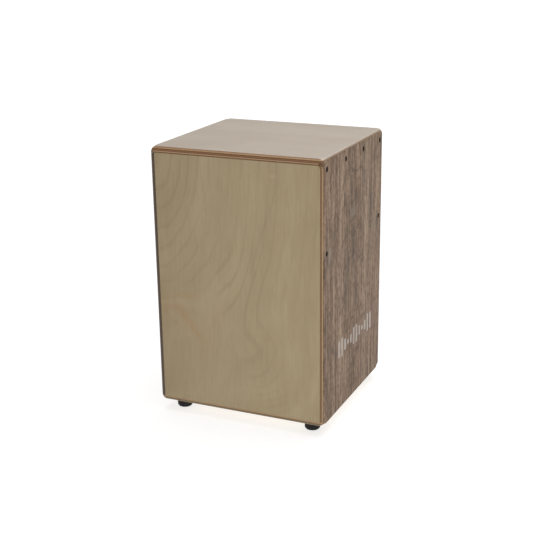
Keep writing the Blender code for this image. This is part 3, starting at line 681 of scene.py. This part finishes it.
def rustic_veneer():
    """The side boards: brown weathered veneer, book-matched about its middle. m is the distance from the
    match line and h the height, both in millimetres. Arches are level lines of h + 24 (m / 54)^4, light
    boards stand at their shoulders, and streaks, fibre, checks and knots run upright over them; raw ply
    shows at the mitre and in the screw holes. KNOTS and PALE_SPOTS hold ellipses: y, h, half width, half
    height and, for a knot, its weight."""
    finish = Finish("rustic_side_veneer", Specular_IOR_Level=0.20)
    sway = finish.noise(finish.at_scale(1.0, 7.0, 4.0), detail=3.0, roughness=0.5) - 0.5
    y = finish.y * MM
    m = (y + 5.0).size() + sway * 16.0
    h = (finish.z - BASE_Z) * MM

    def grain(wide, tall, detail, roughness=0.55, shift=0.0, matched=0.0):
        """Noise drawn out upright. matched is how far it follows m, the same on both sides, and not y."""
        across = (m * matched + y * (1.0 - matched) + sway * 7.0) / MM
        where = finish.node("CombineXYZ", values={"X": across * wide, "Y": finish.z * tall + shift,
                                                  "Z": finish.x * 8.0 + shift})
        return finish.noise(where, detail=detail, roughness=roughness)

    bands = grain(30.0, 1.6, 2.0, matched=0.8)
    streak = grain(110.0, 7.0, 4.0, 0.62, 3.0, matched=0.7)
    thread = grain(300.0, 9.0, 4.0, 0.70, 5.0)
    fibre = grain(800.0, 26.0, 3.0, 0.65, 7.0)
    fleck = grain(150.0, 110.0, 3.0, 0.6, 23.0)
    hue = grain(44.0, 3.2, 3.0, 0.55, 11.0)
    cloud = grain(30.0, 17.0, 4.0, 0.6, 13.0)
    shoulders = (near_curve(m - 62.0, 22.0) * 0.42 + near_curve(m - 97.0, 4.5) * 0.45
                 + near_curve(m - 124.0, 14.0) * 0.18)
    gullies = (near_curve(m - 85.0, 5.0) * 0.30 + near_curve(m - 14.0, 26.0) * 0.09
               + near_curve(m - 110.0, 6.0) * 0.22)
    drift = grain(16.0, 9.0, 2.0, 0.5, 19.0) - 0.5
    rise = (h + (m / 54.0) ** 4 * 24.0 + drift * 96.0 + (cloud - 0.5) * 14.0) / 53.0 + 0.10
    wave = (rise * (2 * math.pi)).sine()
    arched = (1.0 - m.rise(58.0, 84.0)) * h.rise(120.0, 190.0) * (1.0 - h.rise(425.0, 455.0))
    arch_line = wave.rise(0.93, 0.998) * arched * cloud.rise(0.40, 0.58)
    patch = wave * arched * near_curve(m - 46.0, 26.0)
    tone = 0.50 + (shoulders - gullies) * 0.42 - patch * 0.08 + h.rise(0.0, 240.0) * 0.04
    for pattern, weight in ((bands, 0.24), (streak, 0.80), (thread, 1.70), (fibre, 1.20), (cloud, 0.24),
                            (fleck, 0.95)):
        tone = tone + (pattern - 0.5) * weight
    base = finish.ramp(tone, [(0.06, swatch(68, 49, 34)), (0.32, swatch(105, 82, 61)),
                              (0.50, swatch(126, 101, 77)), (0.70, swatch(147, 121, 98)),
                              (0.94, swatch(172, 148, 124))])
    base = finish.mix(hue.rise(0.52, 0.68) * 0.30, base, swatch(142, 106, 88))
    base = finish.mix((1.0 - hue.rise(0.34, 0.46)) * 0.22, base, swatch(118, 106, 90))
    checks = grain(230.0, 12.0, 3.0, 0.6, 17.0).rise(0.60, 0.66)
    cracks = arch_line * streak.rise(0.40, 0.56)
    base = finish.mix(checks * 0.60, base, swatch(70, 54, 45))
    base = finish.mix(cracks * 0.55, base, swatch(70, 54, 44))
    knots = reduce(Wire.most, [spot(y, h, *ellipse) * weight for *ellipse, weight in KNOTS])
    pale = reduce(Wire.most, [spot(y, h, *ellipse) for ellipse in PALE_SPOTS])
    base = finish.mix(pale * 0.30, base, swatch(176, 164, 150))
    base = finish.mix(knots * (0.20 + thread.rise(0.35, 0.6) * 0.55), base, swatch(72, 54, 44))

    place = (y - MOTIF_Y) / MOTIF_PITCH
    along = place.sum("FRACT")
    tall = (place.sum("FLOOR") * 1.3 + 0.6).sine() * MOTIF_SWING + MOTIF_TALL
    bar = along.rise(0.20, 0.26) * (1.0 - along.rise(0.72, 0.78))
    bar = bar * (1.0 - ((h - MOTIF_H).size() - tall).rise(-0.3, 0.3))
    bar = bar * place.rise(-0.02, 0.0) * (1.0 - place.rise(MOTIF_BARS, MOTIF_BARS + 0.02))
    bar = bar * finish.x.rise(0.0, 0.1)
    base = finish.mix(bar * (0.62 + fibre.rise(0.40, 0.55) * 0.26), base, swatch(196, 188, 180))

    inset = (HALF_W - finish.x.size()) * MM
    raw = inset.rise(0.42, 0.50) * (1.0 - (finish.y.size() * MM).rise(*SIDE_FACE_TURNS))
    ply = ply_edge(finish, inset, ((1.0, 18.0, 18.0), (400.0, 300.0, 400.0)),
                   [(1.9, swatch(158, 136, 114)), (3.4, swatch(140, 104, 66)), (4.9, swatch(190, 156, 112)),
                    (6.5, swatch(140, 104, 66)), (8.1, swatch(190, 156, 112)), (10.2, swatch(168, 132, 92))])
    finish.set(Base_Color=finish.mix(raw, base, ply), Roughness=0.55 + (streak - 0.5) * 0.25 + raw * 0.15)
    finish.bump(fibre * 0.5 + thread * 0.5 - checks * 1.4 - cracks * 1.2 - knots * 0.3, 0.00012)
    return finish.material


def raw_ply(name, below, thick):
    """Unfinished birch ply: grain on its faces and five plies at its sawn edges, with painted shade on the
    edges near the box's sides.
    below gives the wire of the depth below the outer face, and thick the board, both in millimetres."""
    finish = Finish(name, Specular_IOR_Level=0.35)
    depth = below(finish)
    bend = (finish.noise(finish.at_scale(7.0, 2.0, 2.4), detail=2.0) - 0.5) * 0.05
    where = finish.node("CombineXYZ", values={"X": (finish.x + bend) * 30.0, "Y": finish.y * 3.0,
                                              "Z": finish.z * 3.4})
    bands = finish.noise(where, detail=4.0, roughness=0.6, distortion=0.6)
    fibre = finish.noise(finish.at_scale(520.0, 40.0, 22.0), detail=4.0, roughness=0.62)
    pores = finish.noise(finish.at_scale(1300.0, 90.0, 110.0), detail=1.0).rise(0.66, 0.78)
    tone = 0.5 + (bands - 0.5) * 0.75 + (fibre - 0.5) * 0.35
    base = finish.ramp(tone, [(0.2, swatch(168, 144, 108)), (0.5, swatch(188, 166, 130)),
                              (0.8, swatch(203, 185, 152))])
    base = finish.mix(pores * 0.2, base, swatch(128, 98, 62))
    dark, light = swatch(150, 106, 66), swatch(204, 172, 126)
    plies = [(thick * (i + 1) / 5, light if i % 2 == 0 else dark) for i in range(5)]
    edge = ply_edge(finish, depth, ((16.0, 16.0, 16.0), (420.0, 420.0, 420.0)), plies, wobble=0.06)
    cut = depth.rise(*PLY_SHOWS) * (thick - depth).rise(*PLY_SHOWS)
    # painted shade: the sawn edges are darkened towards the box's sides
    rim = (finish.x.size() * MM).rise(HALF_W * MM - 3.4, HALF_W * MM - 2.0)
    edge = finish.mix(rim * 0.75, edge, swatch(84, 68, 56))
    finish.set(Base_Color=finish.mix(cut, base, edge), Roughness=0.58 + (fibre - 0.5) * 0.2)
    finish.bump(fibre * 0.8 - pores * 0.8, 0.00010)
    return finish.material


def pine(name, axis):
    """A planed pine batten with its grain along one axis: growth lines cut at a slant, and fine fibre."""
    finish = Finish(name, Specular_IOR_Level=0.35)
    coarse, fine = [14.0] * 3, [640.0] * 3
    coarse[axis], fine[axis] = 1.6, 20.0
    sway = finish.noise(finish.at_scale(*coarse), detail=2.0)
    cross = [finish.x, finish.y, finish.z]
    del cross[axis]
    rings = ((cross[0] + cross[1] * 0.6) * 1400.0 + sway * 26.0).sine()
    fibre = finish.noise(finish.at_scale(*fine), detail=4.0, roughness=0.6)
    tone = 0.5 + rings * 0.16 + (fibre - 0.5) * 0.4
    base = finish.ramp(tone, [(0.2, swatch(176, 128, 76)), (0.5, swatch(205, 164, 110)),
                              (0.8, swatch(222, 188, 138))])
    finish.set(Base_Color=base, Roughness=0.6 + (fibre - 0.5) * 0.2)
    finish.bump(fibre + rings * 0.3, 0.00010)
    return finish.material


def black_steel():
    """Phosphated screw steel: near black, with worn brown patches."""
    finish = Finish("black_screw_steel", Metallic=0.0, Specular_IOR_Level=0.08)
    cloud = finish.noise(finish.at_scale(420.0, 420.0, 420.0), detail=4.0, roughness=0.6)
    speck = finish.noise(finish.at_scale(2400.0, 2400.0, 2400.0), detail=2.0)
    base = finish.mix(cloud.rise(0.45, 0.75) * 0.5, swatch(34, 23, 17), swatch(58, 40, 29))
    finish.set(Base_Color=base, Roughness=0.58 + cloud * 0.25)
    finish.bump(speck, 0.00003)
    return finish.material


def rubber():
    """Moulded rubber: dark, dull, faintly dusty, with a fine moulded texture."""
    finish = Finish("foot_rubber", Specular_IOR_Level=0.35)
    dust = finish.noise(finish.at_scale(90.0, 90.0, 90.0), detail=5.0, roughness=0.65)
    grit = finish.noise(finish.at_scale(1900.0, 1900.0, 1900.0), detail=2.0)
    base = finish.mix(dust.rise(0.45, 0.75) * 0.5, swatch(30, 27, 26), swatch(56, 50, 47))
    finish.set(Base_Color=base, Roughness=0.68 + dust * 0.2)
    finish.bump(grit, 0.00006)
    return finish.material


def bright_steel():
    """Plated snare steel: bright, brushed by handling, slightly clouded."""
    finish = Finish("snare_steel_bright", Metallic=1.0)
    cloud = finish.noise(finish.at_scale(160.0, 160.0, 60.0), detail=4.0)
    base = finish.mix(cloud, swatch(176, 176, 180), swatch(206, 206, 208))
    finish.set(Base_Color=base, Roughness=0.22 + cloud * 0.22)
    return finish.material


BIRCH = birch_face()
SEAT = seat_face()
VENEER = rustic_veneer()
REAR_PLY = raw_ply("rear_plate_ply", lambda f: (REAR_Y - f.y) * MM, REAR_T * MM)
FLOOR_PLY = raw_ply("floor_board_ply", lambda f: (f.z - BASE_Z) * MM, (DECK_Z - BASE_Z) * MM)
PINE = [pine(f"pine_along_{axis}", i) for i, axis in enumerate("xyz")]
SCREW = black_steel()
RUBBER = rubber()
STEEL = bright_steel()


# ---------------------------------------------------------------- pieces
def fit(piece, finish, slot, *nodes):
    """A finished piece: its material, its body and the nodes that it stands for. The slot argument is not used.
    """
    piece.data.materials.clear()
    piece.data.materials.append(finish)
    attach(piece, "root")
    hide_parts(*nodes)


def head_place(node, face, in_by=0.0):
    """Where a screw's head sits: the middle of its node's box, at the end that faces out or in_by short of
    it, turned so that the head's +Z faces out."""
    low, high = corners(node)
    centre = (low + high) / 2
    axis = "XYZ".index(face[1])
    centre[axis] = high[axis] - in_by if face[0] == "+" else low[axis] + in_by
    return Matrix.Translation(Vector(centre)) @ FACE_OUT[face]


fit(eased("seat_board", seat_or_floor(1), ARRIS), SEAT, "seat_face", "top_panel")

low, high = corners("side_screw_right_1")
SCREW_HEAD_R = (high[2] - low[2]) / 2
side_screw_mesh = woodscrew(SCREW_HEAD_R, high[0] - low[0])
low, high = corners("rear_screw_1")
rear_screw_mesh = woodscrew(SCREW_HEAD_R, high[1] - low[1])
sink_mesh = countersink(SCREW_HEAD_R + HEAD_CLEAR, SHANK_R + SHANK_CLEAR, SCREW_HOLE_L)


def row_of_screws(name, mesh, nodes, face):
    """One screw for each node, head outwards. Returns their places, for the board's holes."""
    places = [head_place(node, face) for node in nodes]
    for number, (node, place) in enumerate(zip(nodes, places), start=1):
        fit(eased(f"{name}_{number}", joined(name, [mesh], [place])), SCREW, "black_screw", node)
    return places


for side, sign, face in (("left", -1, "-X"), ("right", 1, "+X")):
    nodes = [f"side_screw_{side}_{i}" for i in range(1, 7)]
    places = row_of_screws(f"woodscrew_{side}", side_screw_mesh, nodes, face)
    holes = joined("holes", [sink_mesh] * len(places), places)
    board = eased(f"side_board_{side}", side_board(sign), cutter=holes)
    fit(board, VENEER, "rustic_veneer", f"side_panel_{side}")

fit(eased("playing_face", playing_plate()), BIRCH, "birch_face", "front_plate")
places = row_of_screws("woodscrew_rear", rear_screw_mesh, [f"rear_screw_{i}" for i in range(1, 9)], "+Y")
holes = joined("holes", [sink_mesh] * len(places), places)
plate = eased("sound_hole_plate", holed_plate(), cutter=holes)
fit(plate, REAR_PLY, "raw_ply", "rear_plate")
fit(eased("floor_board", seat_or_floor(-1), ARRIS), FLOOR_PLY, "raw_ply", "bottom_panel")

for y_name in ("front", "rear"):
    for x_name in ("left", "right"):
        tag = f"{y_name}_{x_name}"
        low, high = corners(f"foot_{tag}")
        centre = (low + high) / 2
        mesh = foot_mesh(high[2] - low[2], (high[0] - low[0]) / 2)
        place = Matrix.Translation((centre[0], centre[1], low[2]))
        fit(eased(f"rubber_foot_{tag}", joined("foot", [mesh], [place])), RUBBER, "rubber", f"foot_{tag}")
        node = f"foot_screw_{tag}"
        low, high = corners(node)
        mesh = panhead((high[0] - low[0]) / 2, high[2] - low[2] - PAN_H)
        place = head_place(node, "-Z", PAN_H)
        fit(eased(f"panhead_{tag}", joined("panhead", [mesh], [place])), SCREW, "black_screw", node)

for name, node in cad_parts.items():
    if node.hide_render:
        continue
    low, high = corners(name)
    along = int(np.argmax(high - low))
    node.data.materials.clear()
    node.data.materials.append(PINE[along] if name.startswith(("post", "rail", "snare_bar")) else STEEL)


# ---------------------------------------------------------------- stage
def floor():
    """A wide pale floor of a few flat squares. It glows a little, more with distance, so that it stays
    even under soft light and keeps only a faint shadow at the feet. It is clear when seen from below."""
    cells, half = 6, 24.0
    reach = np.linspace(-half, half, cells + 1)
    x, y = np.meshgrid(reach, reach, indexing="ij")
    points = np.stack([x, y, np.zeros_like(x)], axis=-1).reshape(-1, 3)
    first = (np.arange(cells)[:, None] * (cells + 1) + np.arange(cells)[None, :]).reshape(-1, 1)
    mesh = bpy.data.meshes.new("studio_floor")
    mesh.from_pydata(points.tolist(), [], (first + np.array([0, cells + 1, cells + 2, 1])).tolist())
    piece = bpy.data.objects.new("studio_floor", mesh)
    bpy.context.scene.collection.objects.link(piece)
    paper = Finish("studio_paper", Base_Color=(0.46, 0.46, 0.46, 1.0), Roughness=0.9, Specular_IOR_Level=0.2,
                   Emission_Strength=1.0)
    away = (paper.x ** 2 + paper.y ** 2) ** 0.5
    level = 0.75 + away.rise(0.8, 4.0) * 0.23
    paper.set(Emission_Color=paper.node("CombineXYZ", values={"X": level, "Y": level, "Z": level}),
              Alpha=1.0 - paper.node("NewGeometry", output="Backfacing"))
    mesh.materials.append(paper.material)
    piece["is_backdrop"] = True


floor()


def soft_light(name, place, aim, size, watts):
    """A white rectangular lamp at a place, aimed at a point."""
    lamp = bpy.data.lights.new(name, "AREA")
    lamp.shape = "RECTANGLE"
    lamp.size, lamp.size_y = size
    lamp.energy = watts
    obj = bpy.data.objects.new(name, lamp)
    bpy.context.scene.collection.objects.link(obj)
    obj.location = place
    obj.rotation_euler = (Vector(aim) - Vector(place)).to_track_quat("-Z", "Y").to_euler()


soft_light("overhead", (0.3, 0.4, 3.2), (0.0, 0.0, 0.2), (3.4, 3.4), 84.0)
soft_light("front_fill", (2.4, -2.6, 0.9), (0.0, 0.0, 0.20), (2.0, 1.6), 8.0)

world = bpy.data.worlds.new("studio")
world.use_nodes = True
bpy.context.scene.world = world
tree = world.node_tree
dim = tree.nodes["Background"]
dim.inputs["Color"].default_value = (1.0, 1.0, 1.0, 1.0)
dim.inputs["Strength"].default_value = 0.20
white = tree.nodes.new("ShaderNodeBackground")
white.inputs["Color"].default_value = (1.0, 1.0, 1.0, 1.0)
path = tree.nodes.new("ShaderNodeLightPath")
blend = tree.nodes.new("ShaderNodeMixShader")
tree.links.new(path.outputs["Is Camera Ray"], blend.inputs[0])
tree.links.new(dim.outputs[0], blend.inputs[1])
tree.links.new(white.outputs[0], blend.inputs[2])
tree.links.new(blend.outputs[0], tree.nodes["World Output"].inputs["Surface"])
bpy.context.scene.view_settings.view_transform = "Standard"


def camera():
    """A long lens towards the front and the right side, from a little above, rolled a touch."""
    place = Vector((0.77302, -1.72039, 0.84872))
    aim = Vector((0.00713, -0.00377, 0.23481))
    roll = math.radians(-0.706)
    ahead = (aim - place).normalized()
    level = ahead.cross(Vector((0.0, 0.0, 1.0))).normalized()
    upright = level.cross(ahead)
    right = level * math.cos(roll) + upright * math.sin(roll)
    up = upright * math.cos(roll) - level * math.sin(roll)
    data = bpy.data.cameras.new("camera")
    data.sensor_width = 36.0
    data.lens = 70.62
    obj = bpy.data.objects.new("camera", data)
    bpy.context.scene.collection.objects.link(obj)
    obj.matrix_world = Matrix.Translation(place) @ Matrix((right, up, -ahead)).transposed().to_4x4()
    bpy.context.scene.camera = obj


camera()

low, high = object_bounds()
